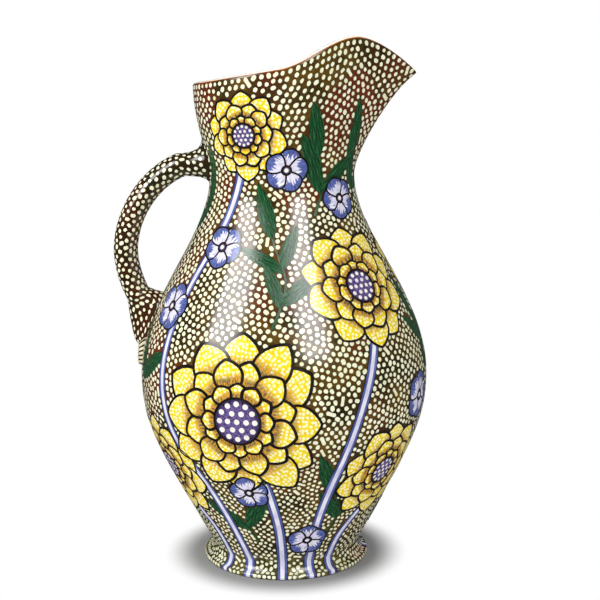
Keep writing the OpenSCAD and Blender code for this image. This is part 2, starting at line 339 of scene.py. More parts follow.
def turned_piece(name, strips, angles, materials, whole=True):
    """One closed mesh from strips that follow each other round a section, which is turned through angles.

    A strip is a line of radius and height, or a line for each angle, and the number of its material.
    There is one more angle at both ends than the mesh has, for the normals.
    """
    grids = [turned(line, angles) for line, _ in strips]
    ring = np.concatenate([grid[1:-1, :-1] for grid in grids], axis=1)
    columns, around = ring.shape[:2]
    numbers = closed_round(np.arange(columns * around).reshape(columns, around), 1)
    faces, corners, slots = [], [], []
    start = 0
    for (_, material), grid in zip(strips, grids):
        normals = strip_normals(grid)[1:-1]
        strip = numbers[:, start:start + normals.shape[1]]
        if whole:
            strip, normals = closed_round(strip, 0), closed_round(normals, 0)
        quads = cells(strip).tolist()
        faces += quads
        corners.append(cells(normals).reshape(-1, 3))
        slots += [material] * len(quads)
        start += normals.shape[1] - 1
    if not whole:
        for column, sign in ((0, 1), (columns - 1, -1)):
            ends, flat = end_faces(ring[column], column * around, sign)
            faces += ends
            corners.append(flat)
            slots += [0] * len(ends)
    return mesh_object(name, ring.reshape(-1, 3), faces, np.concatenate(corners), materials, slots)


def end_faces(section, first, sign):
    """Faces that close the end of a section whose outside and inside have points in pairs."""
    last = len(section) - 1
    faces = []
    for i in range(last // 2):
        face = [i, i + 1, last - i - 1, last - i]
        if face[1] == face[2]:
            face.pop(2)
        faces.append([first + corner for corner in face[::sign]])
    normal = unit(np.cross(section[last // 2] - section[0], section[last] - section[0])) * -sign
    return faces, np.tile(normal, (sum(map(len, faces)), 1))


def lofted_piece(name, rings, material, own=None):
    """A closed mesh through rings, with both ends gathered to a point inside the wall.

    Its own values, if any, are one for each ring.
    """
    count, sides = rings.shape[:2]
    across = (np.roll(rings, -1, axis=1) - np.roll(rings, 1, axis=1)) / 2
    normals = unit(np.cross(np.gradient(rings, axis=0), across))
    inward = [[1, 0, 0]]
    ends = rings[[0, -1]].mean(axis=1) + inward
    points = np.concatenate([rings.reshape(-1, 3), ends])
    point_normals = np.concatenate([normals.reshape(-1, 3), inward, inward])
    numbers = closed_round(np.arange(count * sides).reshape(count, sides), 1)
    first_end = fan(count * sides, numbers[0])
    last_end = fan(count * sides + 1, numbers[-1])[:, ::-1]
    faces = cells(numbers).tolist() + first_end.tolist() + last_end.tolist()
    corners = np.array([point_normals[v] for face in faces for v in face])
    piece = mesh_object(name, points, faces, corners, [material])
    if own is not None:
        shares = np.concatenate([np.repeat(own, sides), own[[0, -1]]])
        keep_own(piece, coords(shares, 0.0, 0.0))
    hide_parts(name)


# The clay pieces


def ring_angles(columns):
    """Angles round the axis, with one more at both ends."""
    return (np.arange(columns + 2) - 1) * 360 / columns


def sector_angles(first, last, columns):
    """Angles from first to last, with one more at both ends."""
    return first + (last - first) / columns * (np.arange(columns + 3) - 1)


def straight(*points, steps=1):
    """A line through points, each stretch cut in steps."""
    parts = [np.linspace(a, b, steps + 1)[:-1] for a, b in zip(points, points[1:])]
    return np.concatenate([*parts, [points[-1]]]).astype(float)


def make_foot(glaze, clay):
    inner_top, inner_low = [FOOT_BORE, FOOT_H], [FOOT_BORE, BORE_EDGE]
    under_inner, under_outer = [FOOT_BORE + BORE_EDGE, 0], [FOOT_R - FOOT_EDGE / 2, 0]
    strips = [
        (foot_line(-90), 0),
        (straight([WAIST_R, FOOT_H], inner_top), 1),
        (straight(inner_top, inner_low, steps=3), 1),
        (straight(inner_low, under_inner), 1),
        (straight(under_inner, under_outer, steps=3), 1),
    ]
    foot = turned_piece("foot_ring", strips, ring_angles(ROUND_COLUMNS), [glaze, clay])
    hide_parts("foot_ring")


def make_floor(inside, clay):
    """The floor, with a hollow fillet up to the wall and a pinhole at the axis."""
    share = np.sin(np.linspace(0, pi / 2, FILLET_STEPS + 1))
    bowl = coords(FLOOR_R - FLOOR_FILLET * share, FLOOR_TOP + FLOOR_FILLET / 2 * (1 - share) ** 2)
    top_middle, low_middle, low_edge = [FLOOR_HOLE, FLOOR_TOP], [FLOOR_HOLE, FOOT_H], [FLOOR_R, FOOT_H]
    flat = straight([FLOOR_R - FLOOR_FILLET, FLOOR_TOP], top_middle, steps=4)
    strips = [
        (np.concatenate([bowl, flat[1:]]), 0),
        (straight(top_middle, low_middle), 1),
        (straight(low_middle, low_edge, steps=4), 1),
        (straight(low_edge, bowl[0]), 1),
    ]
    floor = turned_piece("floor_disc", strips, ring_angles(ROUND_COLUMNS // 2), [inside, clay])
    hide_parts("floor_disc")


def make_body(name, curve, rows, foot_points, materials):
    """A thrown section: its outside, its joint above, its glazed inside and its joint below."""
    outside = even(bezier(curve, FINE), rows + 1)
    inner = even(inset(bezier(curve, FINE), WALL), rows // 2 + 1)[::-1]
    inner = np.concatenate([inner, foot_points])
    strips = [
        (outside, 0),
        (straight(outside[-1], inner[0]), 2),
        (inner, 1),
        (straight(inner[-1], outside[0]), 2),
    ]
    body = turned_piece(name, strips, ring_angles(ROUND_COLUMNS), materials)
    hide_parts(name)


# The stretch of the lip, in steps over it from the outside, that carries the brown line
RIM_LINE_START, RIM_LINE_END = 2, 3


def make_neck(name, first, last, columns, materials):
    """A part of the neck between two angles from the spout, with its lip."""
    angles = sector_angles(first, last, columns)
    share = np.linspace(0, 1, NECK_STEPS + 1)
    outside = neck_lines(angles, share)
    wall = mix(WALL, LIP, share) * (1 + BEAK_THICKENING * beak_share(angles)[:, None] * share)
    inner = outside - coords(wall, 0.0)
    middle = (outside[:, -1:] + inner[:, -1:]) / 2
    turn = np.linspace(0, pi, LIP_STEPS + 1)
    lip = middle + coords(wall[:, -1:] / 2 * np.cos(turn), LIP / 2 * np.sin(turn))
    strips = [
        (np.concatenate([outside, lip[:, 1:RIM_LINE_START + 1]], axis=1), 0),
        (lip[:, RIM_LINE_START:RIM_LINE_END + 1], 1),
        (np.concatenate([lip[:, RIM_LINE_END:], inner[:, -2::-1]], axis=1), 2),
        (np.stack([inner[:, 0], outside[:, 0]], axis=1), 3),
    ]
    neck = turned_piece(name, strips, angles, materials, whole=False)
    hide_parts(name)


# The handle

OVAL = np.linspace(0, 2 * pi, STRAP_SIDES, endpoint=False)
INNER, SIDE = np.cos(OVAL), np.sin(OVAL)
TAIL_SHARES = np.linspace(0, 1, TAIL_STEPS + 1)


def body_radius(z):
    """Radius of the jug's outside at a height, on the side of the handle."""
    column = JUG.points[SHEET_COLUMNS // 2]
    return np.interp(z, column[:, 2], -column[:, 0])


def on_body(y, z, off):
    """Points on the handle's side of the jug, a height off its outside."""
    return coords(-np.sqrt((body_radius(z) + off) ** 2 - y**2), y, z)


def strap_rings(path, shares):
    """Ovals square to a path of X and Z, with the first point of each on the inner side."""
    way = bezier(path, shares + TINY_SHARE) - bezier(path, shares - TINY_SHARE)
    off = STRAP_T / 2 * INNER[:, None] * right_of(way)[:, None]
    x, z = np.moveaxis(bezier(path, shares)[:, None] - off, -1, 0)
    return coords(x, STRAP_W / 2 * SIDE, z)


def flare_rings(foot, strap, shares, full):
    """From a foot on the jug to the strap. A full flare drops to its foot, most of all on its outer side."""
    seat = on_body(strap[:, 1], strap[:, 2], SINK)
    drop = coords(strap[:, 0], strap[:, 1], foot[:, 2])
    share = np.where(INNER < 0, -OUTER_DROP * INNER, INNER_DROP * INNER) if full else 0 * INNER
    bend = mix(seat, drop, share[:, None])
    t = shares[:, None, None]
    return (1 - t) ** 2 * foot + 2 * t * (1 - t) * bend + t**2 * strap


def low_foot_z(share):
    """Height on the lower foot at a share of its reach, up where it is over 0 and down where it is under."""
    return LOW_ROOT_Z + share * np.where(share > 0, LOW_ROOT_UP, LOW_ROOT_DOWN)


def handle_rings():
    """Rings of the handle from its upper foot to its lower foot."""
    heights = TOP_ROOT_Z, LOW_ROOT_Z, LOW_ROOT_Z + NEARBY
    top, low, above_low = (np.array([-body_radius(z), z]) for z in heights)
    outward = -right_of(above_low - low)
    x, z = STRAP_T / 2 - HANDLE_REACH, mix(TOP_ROOT_Z, LOW_ROOT_Z, BULGE_SHARE)
    bulge = np.array([x, z])
    upper = [top, [mix(top[0], x, TOP_PULL), TOP_ROOT_Z], [x, mix(z, TOP_ROOT_Z, RISING_PULL)], bulge]
    lower = [bulge, [x, mix(z, LOW_ROOT_Z, FALLING_PULL)], low + LOW_PULL * STRAP_T * outward, low]
    top_share = TOP_FLARE / np.linalg.norm(bulge - top)
    low_share = 1 - LOW_FLARE / np.linalg.norm(low - bulge)
    top_foot = on_body(TOP_ROOT_W / 2 * SIDE, TOP_ROOT_Z - TOP_ROOT_H / 2 * INNER, SINK)
    edge = mix(ROOT_EDGE_T, TAIL_T, np.maximum(0, -INNER) ** 2)
    low_foot, low_seat = (on_body(LOW_ROOT_W / 2 * SIDE, low_foot_z(INNER), SINK + off) for off in (edge, 0))
    top_strap = strap_rings(upper, np.array([top_share]))[0]
    low_strap = strap_rings(lower, np.array([low_share]))[0]
    return np.concatenate([
        flare_rings(top_foot, top_strap, np.linspace(0, 1, TOP_FLARE_STEPS + 1)[:-1], full=False),
        strap_rings(upper, np.linspace(top_share, 1, UPPER_STEPS + 1)),
        strap_rings(lower, np.linspace(0, low_share, FALLING_STEPS + 1)[1:]),
        flare_rings(low_foot, low_strap, np.linspace(1, 0, LOW_FLARE_STEPS + 1)[1:], full=True),
        low_seat[None],
    ])


def tail_rings():
    """Sections of the ridged tail from the lower root's edge down the belly, rounded off at its end."""
    sections = []
    turn = np.linspace(0, pi, TAIL_SIDES + 1)
    for s in TAIL_SHARES:
        y = mix(TAIL_W, TAIL_END_W, s) / 2 * np.cos(turn)
        groove = RIDGE_D * (1 - cos(2 * pi * RIDGES * s)) / 2
        rounding = np.sqrt(1 - max(0.0, 1 - (1 - s) / TAIL_ROUND_SHARE) ** 2)
        rise = (mix(TAIL_T, TAIL_END_T, s) - groove) * rounding
        top = low_foot_z(-np.sqrt(1 - (y / (LOW_ROOT_W / 2)) ** 2)) + TAIL_LAP
        z = mix(top, TAIL_END, s)
        dome = on_body(y, z, SINK + rise * np.sin(turn))
        seat = on_body(y, z, SINK - TAIL_BURIED)[-2:0:-1]
        sections.append(np.concatenate([dome, seat]))
    return np.array(sections)


# Enamel films. Their levels over the jug are in steps of LIFT.

LIFT, BLOB_BURIED, RIBBON_BURIED, LINE_ACROSS = 0.05, 0.8, 0.2, 3


class Paint:
    """Films of one enamel, gathered to become one mesh."""

    def __init__(self):
        self.points, self.normals, self.own, self.faces = [], [], [], []
        self.count = 0

    def add(self, points, normals, own, *faces):
        self.points.append(points.reshape(-1, 3))
        self.normals.append(normals.reshape(-1, 3))
        self.own.append(own.reshape(-1, 3))
        for group in faces:
            self.faces += (group + self.count).tolist()
        self.count += len(self.points[-1])

    def piece(self, name, material, slot):
        normals = np.concatenate(self.normals)
        corners = normals[[v for face in self.faces for v in face]]
        made = mesh_object(name, np.concatenate(self.points), self.faces, corners, [material])
        keep_own(made, np.concatenate(self.own))


# Paints of the motifs, by the names of their pieces
paints = defaultdict(Paint)


def ringed(outline, centre, rings):
    """Rings of points from each centre out to its outline, and the centre last."""
    share = (np.arange(rings) + 1)[:, None, None] / rings
    middle = centre[:, None, None, :]
    points = middle + (outline[:, None] - middle) * share
    return np.concatenate([points.reshape(len(outline), -1, outline.shape[-1]), centre[:, None]], axis=1)


def blobs(paint, sheet, column, row, outline, centre, level, rings, own=None, own_centre=None):
    """Closed films, each laid about a place on the sheet, and the columns and rows of their edges.

    Outlines are (count, sides, 2) and turn to the left. The middle of each film has a buried point under it,
    and so has its halfway ring if there is more than one ring.
    """
    count, sides = outline.shape[:2]
    if own is None:
        own, own_centre = np.zeros((count, sides, 3)), np.zeros((count, 3))
    values = ringed(own, own_centre, rings)
    flat = ringed(outline, centre, rings)
    columns, rows = sheet.spread(np.reshape(column, (-1, 1)), np.reshape(row, (-1, 1)), flat)
    top, normals = sheet.raised(columns, rows, LIFT * level)
    middle, half = rings * sides, rings // 2
    hidden = np.append(np.arange(max(0, half - 1) * sides, half * sides), middle)
    under, under_normals = sheet.raised(columns[:, hidden], rows[:, hidden], -BLOB_BURIED)
    bottom = middle + len(hidden)
    numbers = np.append(np.arange(middle), np.arange(middle + 1, bottom)).reshape(-1, sides)
    numbers = closed_round(numbers, 1)
    fans = np.concatenate([fan(middle, numbers[0]), fan(bottom, numbers[-1])[:, ::-1]])
    first = (np.arange(count) * (bottom + 1))[:, None, None]
    paint.add(
        np.concatenate([top, under], axis=1),
        np.concatenate([normals, under_normals], axis=1),
        np.concatenate([values, values[:, hidden]], axis=1),
        (first + fans).reshape(-1, 3),
        (first + cells(numbers)).reshape(-1, 4),
    )
    edge = slice(middle - sides, middle)
    return columns[:, edge], rows[:, edge]


def ribbon(paint, columns, rows, level, own, closed=False):
    """A closed film over a grid of places along a ribbon, three or more across it from right to left."""
    top, normals = JUG.raised(columns, rows, LIFT * level)
    inner = np.ones(columns.shape, bool)
    inner[:, [0, -1]] = False
    if not closed:
        inner[[0, -1]] = False
    under, _ = JUG.raised(columns[inner], rows[inner], -RIBBON_BURIED)
    upper = np.arange(columns.size).reshape(columns.shape)
    lower = upper.copy()
    lower[inner] = columns.size + np.arange(inner.sum())
    if closed:
        upper, lower = closed_round(upper, 0), closed_round(lower, 0)
    paint.add(
        np.concatenate([top.reshape(-1, 3), under]),
        np.concatenate([normals.reshape(-1, 3), normals[inner]]),
        np.concatenate([own.reshape(-1, 3), own[inner]]),
        cells(upper),
        cells(lower)[:, ::-1],
    )


def across_way(way, half, share):
    """Flat points square to a way, at shares of its half widths, from right to left."""
    return right_of(way)[:, None] * (np.reshape(half, (-1, 1)) * share)[..., None]


def outline_ribbon(column, row, outline, half, level):
    """A dark line along a closed outline about a place on the jug."""
    way = np.roll(outline, -1, axis=0) - np.roll(outline, 1, axis=0)
    flat = outline[:, None] + across_way(way, half, np.linspace(1, -1, LINE_ACROSS))
    columns, rows = JUG.spread(column, row, flat)
    ribbon(paints["outlines"], columns, rows, level, np.zeros((*columns.shape, 3)), closed=True)


PATH_STEP, STRETCH_STEPS = 1.5, 14


def smooth_path(points):
    """A curve through points."""
    points = np.asarray(points, float)
    padded = np.concatenate([[2 * points[0] - points[1]], points, [2 * points[-1] - points[-2]]])
    t = np.linspace(0, 1, STRETCH_STEPS, endpoint=False)[:, None]
    parts = []
    for a, b, c, d in zip(padded, padded[1:], padded[2:], padded[3:]):
        square = a - 2.5 * b + 2 * c - d / 2
        cube = 1.5 * (b - c) + (d - a) / 2
        parts.append(b + t * (c - a) / 2 + t**2 * square + t**3 * cube)
    return np.concatenate([*parts, points[-1:]])


def jug_path(places):
    """Columns and rows of a curve on the jug through places of turn and height, and its way there in mm."""
    points = smooth_path([spot(turn, z) for turn, z in places])
    points = even(points, int(np.abs(np.diff(points[:, 1])).sum() / PATH_STEP) + 2)
    columns, rows = points.T
    return columns, rows, np.gradient(points, axis=0) * JUG.cell_size(columns, rows)


def path_ribbon(paint, columns, rows, way, half, across, level):
    """A band along a path on the jug. Its own values are the share across, the distance along and 0."""
    length = np.concatenate([[0], np.cumsum(np.linalg.norm(way, axis=1))[:-1]])
    share = np.linspace(1, -1, across)
    columns, rows = JUG.spread(columns[:, None], rows[:, None], across_way(way, half, share))
    ribbon(paint, columns, rows, level, coords(share, length[:, None], 0.0))
    COVER.fill(*(np.append(grid[:, 0], grid[::-1, -1]) for grid in (columns, rows)))


class Cover:
    """Where the jug is painted, so that its dots keep clear."""

    PER_COLUMN = 3

    def __init__(self, sheet):
        self.cells = np.zeros((sheet.columns * self.PER_COLUMN, sheet.rows), bool)

    def fill(self, columns, rows):
        """Mark the inside of a closed line."""
        x, y = columns * self.PER_COLUMN, rows
        i = np.arange(int(x.min()) - 1, int(x.max()) + 2)
        j = np.arange(max(0, int(y.min()) - 1), min(self.cells.shape[1], int(y.max()) + 2))
        ii, jj = np.meshgrid(i, j, indexing="ij")
        inside = np.zeros(ii.shape, bool)
        for x0, y0, x1, y1 in zip(x, y, np.roll(x, -1), np.roll(y, -1)):
            crosses = (y0 > jj) != (y1 > jj)
            if crosses.any():
                inside ^= crosses & (ii < x0 + (x1 - x0) * (jj - y0) / (y1 - y0))
        self.cells[ii[inside] % self.cells.shape[0], jj[inside]] = True

    def free(self, columns, rows):
        i = np.round(columns * self.PER_COLUMN).astype(int) % self.cells.shape[0]
        j = np.clip(np.round(rows).astype(int), 0, self.cells.shape[1] - 1)
        return ~self.cells[i, j]


COVER = Cover(JUG)

# Shapes of the painted motifs


class Shape:
    """An outline with a middle that sees all of it, and the values that its enamel is coloured by."""

    def __init__(self, outline, middle, own, own_middle):
        self.outline, self.middle, self.own, self.own_middle = outline, middle, own, own_middle

    def spun(self, degrees, out=0.0):
        """The same shape moved out along Y and then turned to the right."""
        a = radians(degrees)
        turn = np.array([[cos(a), -sin(a)], [sin(a), cos(a)]])
        outline, middle = ((points + [0, out]) @ turn for points in (self.outline, self.middle))
        return Shape(outline, middle, self.own, self.own_middle)

    def lay(self, paint, column, row, level, rings=4, shift=0.0):
        """Lay it about a place on the jug. The shift tells its colour pattern from that of its neighbours."""
        own, own_middle = (values + [shift, 0, 0] for values in (self.own, self.own_middle))
        columns, rows = blobs(paint, JUG, column, row, self.outline[None], self.middle[None], level, rings,
                              own[None], own_middle[None])
        COVER.fill(columns[0], rows[0])


SHAPE_MIDDLE_SHARE = 0.52


def leaf_shape(length, width, fullness, point=0.8, bend=0.0, sides=36):
    """A leaf or petal along Y, widest where fullness says and pointed where point is near 1.

    Its own values are x, y and the share of its length.
    """
    u = (1 - np.cos(np.linspace(0, pi, sides // 2 + 1))) / 2
    half = width / 2 * np.sin(pi * u**fullness) ** point
    x = np.concatenate([half, -half[-2:0:-1]])
    share = np.concatenate([u, u[-2:0:-1]])
    outline = coords(x + bend * length * share * (share - 1), length * share)
    at = SHAPE_MIDDLE_SHARE
    middle = np.array([bend * length * at * (at - 1), length * at])
    return Shape(outline, middle, coords(x, length * share, share), np.array([0.0, length * at, at]))


ROUND_TURNS = np.linspace(0, 2 * pi, 32, endpoint=False)
CIRCLE = coords(np.cos(ROUND_TURNS), np.sin(ROUND_TURNS))
DISC_LINE_HALF, DISC_RINGS, OUTLINE_OVER = 0.6, 4, 0.6


def disc(column, row, radius, level):
    """A round centre. Its own values are x, y and the share of its radius."""
    edge = radius * CIRCLE
    own = coords(*edge.T, 1.0)
    blobs(paints["centres"], JUG, column, row, edge[None], np.zeros((1, 2)), level, DISC_RINGS,
          own[None], np.zeros((1, 3)))
    outline_ribbon(column, row, edge, DISC_LINE_HALF, level + OUTLINE_OVER)


def seed_ring(column, row, radius, count, size, level):
    """Small pale rounds in a ring."""
    turns = 2 * pi * np.arange(count) / count
    places = radius * coords(np.cos(turns), np.sin(turns))
    blobs(paints["seeds"], JUG, column, row, places[:, None] + size * CIRCLE[::3], places, level, rings=1)


ROSETTE_ROUNDS = [
    # base and tip as shares of the radius, share of a step turned, and level
    (0.30, 1.00, 0.0, 4),
    (0.26, 0.70, 0.5, 6),
    (0.20, 0.44, 0.0, 8),
]
PETAL_OVERLAP, PETAL_WIDEST_SHARE, PETAL_FULLNESS, PETAL_POINT = 1.25, 0.58, 1.25, 0.72
PETAL_TURNS, PETAL_LENGTHS, PETAL_WIDTHS, LINE_WIDTHS = (-4, 4), (0.92, 1.04), (0.92, 1.08), (0.85, 1.2)
LINE_HALF, LINE_HALF_PER_SIZE = 0.40, 0.004
CENTRE_SHARE, CENTRE_LEVEL, CENTRE_SEED_SHARE = 0.27, 10, 0.12
SEED_RINGS = [
    # radius as a share of the centre's, and seeds
    (0.0, 1), (0.40, 6), (0.76, 12),
]


def rosette(turn, z, size, count):
    """A full-face blossom: three rounds of petals, and a dark centre with rings of seeds."""
    column, row = spot(turn, z)
    radius = size / 2
    for base, tip, half_step, first_level in ROSETTE_ROUNDS:
        width = PETAL_OVERLAP * 2 * pi * mix(base, tip, PETAL_WIDEST_SHARE) * radius / count
        for k in range(count):
            degrees = (k + half_step) * 360 / count + rng.uniform(*PETAL_TURNS)
            length = (tip - base) * radius * rng.uniform(*PETAL_LENGTHS)
            petal = leaf_shape(length, width * rng.uniform(*PETAL_WIDTHS), PETAL_FULLNESS, PETAL_POINT)
            petal = petal.spun(degrees, base * radius)
            level = first_level + k % 2
            petal.lay(paints["petals"], column, row, level, rings=5, shift=37.0 * (k + first_level * count))
            half = (LINE_HALF + LINE_HALF_PER_SIZE * size) * rng.uniform(*LINE_WIDTHS)
            outline_ribbon(column, row, petal.outline, half, level + OUTLINE_OVER)
    centre = CENTRE_SHARE * radius
    disc(column, row, centre, CENTRE_LEVEL)
    for share, seeds in SEED_RINGS:
        seed_ring(column, row, share * centre, seeds, CENTRE_SEED_SHARE * centre, CENTRE_LEVEL + 1)


# A blue blossom: sizes as shares of its width, the form of its petals, and levels
BLUE_LENGTH_SHARE, BLUE_WIDTH_SHARE, BLUE_BASE_SHARE = 0.47, 0.5, 0.03
BLUE_DISC_SHARE, BLUE_SEED_SHARE = 0.1, 0.05
BLUE_PETALS, BLUE_FULLNESS, BLUE_POINT, BLUE_LINE_HALF = 5, 1.3, 0.6, 0.5
BLUE_LEVEL, BLUE_OUTLINE_OVER, BLUE_DISC_LEVEL = 3.5, 0.4, 9


def blue_blossom(turn, z, size, degrees):
    """A small blossom of five round petals, blue at their tips, about a pale seed."""
    column, row = spot(turn, z)
    length, width = BLUE_LENGTH_SHARE * size, BLUE_WIDTH_SHARE * size
    for k in range(BLUE_PETALS):
        petal = leaf_shape(length, width, BLUE_FULLNESS, BLUE_POINT, sides=28)
        petal = petal.spun(degrees + 360 / BLUE_PETALS * k, BLUE_BASE_SHARE * size)
        level = BLUE_LEVEL + k
        petal.lay(paints["blue_petals"], column, row, level, rings=6, shift=29.0 * k)
        outline_ribbon(column, row, petal.outline, BLUE_LINE_HALF, level + BLUE_OUTLINE_OVER)
    disc(column, row, BLUE_DISC_SHARE * size, BLUE_DISC_LEVEL)
    seed_ring(column, row, 0.0, 1, BLUE_SEED_SHARE * size, BLUE_DISC_LEVEL + 1)


STEM_HALF, STEM_LEVEL, STEM_ACROSS, STEM_TAPER = 3.0, 3, 7, np.linspace(1, 0.7, 6)


def stem(places):
    """A banded stem through places of turn and height."""
    columns, rows, way = jug_path(places)
    half = np.full(len(columns), STEM_HALF)
    half[-len(STEM_TAPER):] *= STEM_TAPER
    path_ribbon(paints["stems"], columns, rows, way, half, STEM_ACROSS, STEM_LEVEL)


LEAF_LENGTH, LEAF_WIDTH, LEAF_FULLNESS, LEAF_BEND, LEAF_LEAN = 31.0, 8.8, 0.8, 0.12, 40.0
LEAF_SIZES, LEAF_LEANS = (0.82, 1.1), (0.8, 1.2)
TWIG_HALVES, PAIR_STEP, PAIR_OFFSET, TIP_BACK = (0.8, 0.4), 20.0, 0.6, -1.0
TWIG_LEVEL, LEFT_LEAF_LEVEL, RIGHT_LEAF_LEVEL, TIP_LEAF_LEVEL = 1.2, 1.4, 1.7, 1.6


def spray(places):
    """A twig with lance leaves in pairs, the right one of each set further on, and one leaf at its tip."""
    columns, rows, way = jug_path(places)
    count = len(columns)
    half = np.linspace(*TWIG_HALVES, count)
    path_ribbon(paints["twigs"], columns, rows, way, half, LINE_ACROSS, TWIG_LEVEL)
    heading = np.degrees(np.arctan2(way[:, 0], way[:, 1]))
    pairs = max(1, int(np.linalg.norm(way, axis=1).sum() / PAIR_STEP))
    for k in range(pairs):
        base = int((k + PAIR_OFFSET) / (pairs + PAIR_OFFSET) * count)
        for side, further, level in ((-1, 0, LEFT_LEAF_LEVEL), (1, 2, RIGHT_LEAF_LEVEL)):
            i = min(count - 1, base + further)
            size = rng.uniform(*LEAF_SIZES)
            degrees = heading[i] + side * rng.uniform(*LEAF_LEANS) * LEAF_LEAN
            leaf = leaf_shape(LEAF_LENGTH * size, LEAF_WIDTH * size, LEAF_FULLNESS, bend=LEAF_BEND * side)
            leaf.spun(degrees).lay(paints["leaves"], columns[i], rows[i], level)
    tip = leaf_shape(LEAF_LENGTH, LEAF_WIDTH, LEAF_FULLNESS).spun(heading[-1], TIP_BACK)
    tip.lay(paints["leaves"], columns[-1], rows[-1], TIP_LEAF_LEVEL)


# Layout: turns to the right from the front, heights and sizes
ROSETTES = [
    # turn, height, width and petals in a round
    (-17, 98, 92, 12), (42, 162, 68, 10), (50, 62, 62, 10), (-64, 62, 62, 10), (-26, 240, 48, 10),
    (166, 110, 92, 12), (110, 168, 66, 10), (114, 62, 62, 10), (-132, 72, 64, 10), (-146, 172, 62, 10),
    (152, 240, 48, 10),
]
STEM_END = 0.5
STEMS = [
    # turns and heights
    [(-2, STEM_END), (-3, 30), (-8, 62)],
    [(18, STEM_END), (19, 40), (28, 90), (40, 136)],
    [(34, STEM_END), (36, 22), (46, 40)],
    [(-46, STEM_END), (-48, 24), (-58, 40)],
    [(-26, STEM_END), (-36, 50), (-52, 100), (-52, 160), (-38, 204), (-29, 226)],
    [(178, STEM_END), (176, 36), (170, 74)],
    [(90, STEM_END), (88, 50), (96, 100), (108, 144)],
    [(108, STEM_END), (109, 24), (112, 40)],
    [(-120, STEM_END), (-122, 26), (-129, 48)],
    [(-160, STEM_END), (-166, 60), (-168, 110), (-152, 148)],
    [(140, STEM_END), (138, 60), (135, 130), (138, 190), (148, 226)],
]
SPRAYS = [
    # turns and heights
    [(-4, 144), (2, 166), (-6, 188)],
    [(24, 198), (33, 214), (29, 230)],
    [(64, 198), (72, 214), (68, 230)],
    [(-16, 22), (-21, 34), (-16, 46)],
    [(70, 104), (80, 120), (78, 138)],
    [(-70, 176), (-78, 194), (-72, 210)],
    [(26, 26), (30, 40), (24, 54)],
    [(-78, 96), (-72, 112), (-76, 128)],
    [(128, 110), (134, 134), (126, 158)],
    [(178, 160), (170, 184), (176, 204)],
    [(-112, 188), (-106, 208), (-112, 224)],
    [(100, 206), (106, 220), (100, 232)],
    [(-152, 214), (-160, 224), (-154, 234)],
    [(150, 58), (156, 42), (148, 32)],
    [(-98, 34), (-104, 56), (-98, 78)],
    [(-116, 112), (-122, 130), (-114, 148)],
    [(-176, 34), (-168, 46), (-176, 60)],
]
BLUE_BLOSSOMS = [
    # turn, height, width and way that the first petal points
    (-60, 150, 27, 10), (-38, 182, 24, 40), (66, 100, 27, 20), (14, 24, 22, 0), (-86, 76, 26, 30),
    (4, 222, 23, 15), (48, 206, 23, 50), (-16, 56, 22, 60), (146, 154, 27, 10), (-174, 78, 26, 30),
    (82, 30, 22, 0), (-136, 122, 27, 45), (126, 206, 23, 20), (-106, 162, 25, 5), (-146, 34, 22, 30),
    (176, 226, 23, 0),
]


def paint_motifs():
    for places in SPRAYS:
        spray(places)
    for places in STEMS:
        stem(places)
    for place in BLUE_BLOSSOMS:
        blue_blossom(*place)
    for place in ROSETTES:
        rosette(*place)


# Dots of the ground

DOT_SIDES, DOT_WAIST, DOT_UNEVENNESS, DOT_LEVEL = 16, 0.2, 0.05, 1
RADIUS_SPREAD, STRETCHES = (0.86, 1.1), [0, 0, 0.15, 0.35]
JUG_MERGED, STRAP_MERGED = 0.02, 0.0
SCANS_PER_COLUMN, SCAN_STEP, SCAN_REACH, PITCH_SPREAD = 4, 0.4, 5.0, (0.98, 1.25)
CLEAR_SHARE, CLEAR_TURNS = 0.9, np.linspace(0, 2 * pi, 8, endpoint=False)
LOW_MARGIN, TOP_MARGIN = 1.5, 0.9

# Pitch of the jug's dots, wide at the belly and the rim, and their radius over it, by height
MID_LOWER_Z, MID_SHOULDER_Z = mix(FOOT_H, BELLY_Z, 0.5), mix(BELLY_Z, THROAT_Z, 0.5)
PITCH_HEIGHTS = [MID_LOWER_Z, BELLY_Z, MID_SHOULDER_Z, THROAT_Z, THROAT_Z + 20, CREST_Z]
PITCHES = [2.6, 3.15, 3.25, 2.95, 3.3, 3.6]
RADIUS_HEIGHTS = [FOOT_EDGE, FOOT_H, MID_LOWER_Z, BELLY_Z, THROAT_Z - 20, THROAT_Z + 15, RIM_Z]
RADIUS_SHARES = [0.38, 0.34, 0.34, 0.36, 0.37, 0.34, 0.33]

# The strap's dots, and its rows at the upper root and before the lower root that bound them
STRAP_PITCH, STRAP_RADIUS_SHARE = 3.2, 0.31
STRAP_FIRST_ROW, STRAP_MEETING_ROW, STRAP_ROWS_LEFT = 0.8, 1.0, 1.8


def jug_dot_sizes(points):
    """Pitch and radius of dots at points on the jug."""
    pitch = np.interp(points[:, 2], PITCH_HEIGHTS, PITCHES)
    return pitch, pitch * np.interp(points[:, 2], RADIUS_HEIGHTS, RADIUS_SHARES)


def strap_dot_sizes(points):
    """Pitch and radius of dots at points on the strap."""
    pitch = np.full(len(points), STRAP_PITCH)
    return pitch, pitch * STRAP_RADIUS_SHARE


def open_ground(columns, row, reach):
    """Whether a round of this reach about each place lies clear of the motifs."""
    free = np.ones(len(columns), bool)
    for a in CLEAR_TURNS:
        free &= COVER.free(*JUG.spread(columns, row, coords(reach * cos(a), reach * sin(a))))
    return free


def anywhere(columns, row, reach):
    return np.ones(len(columns), bool)


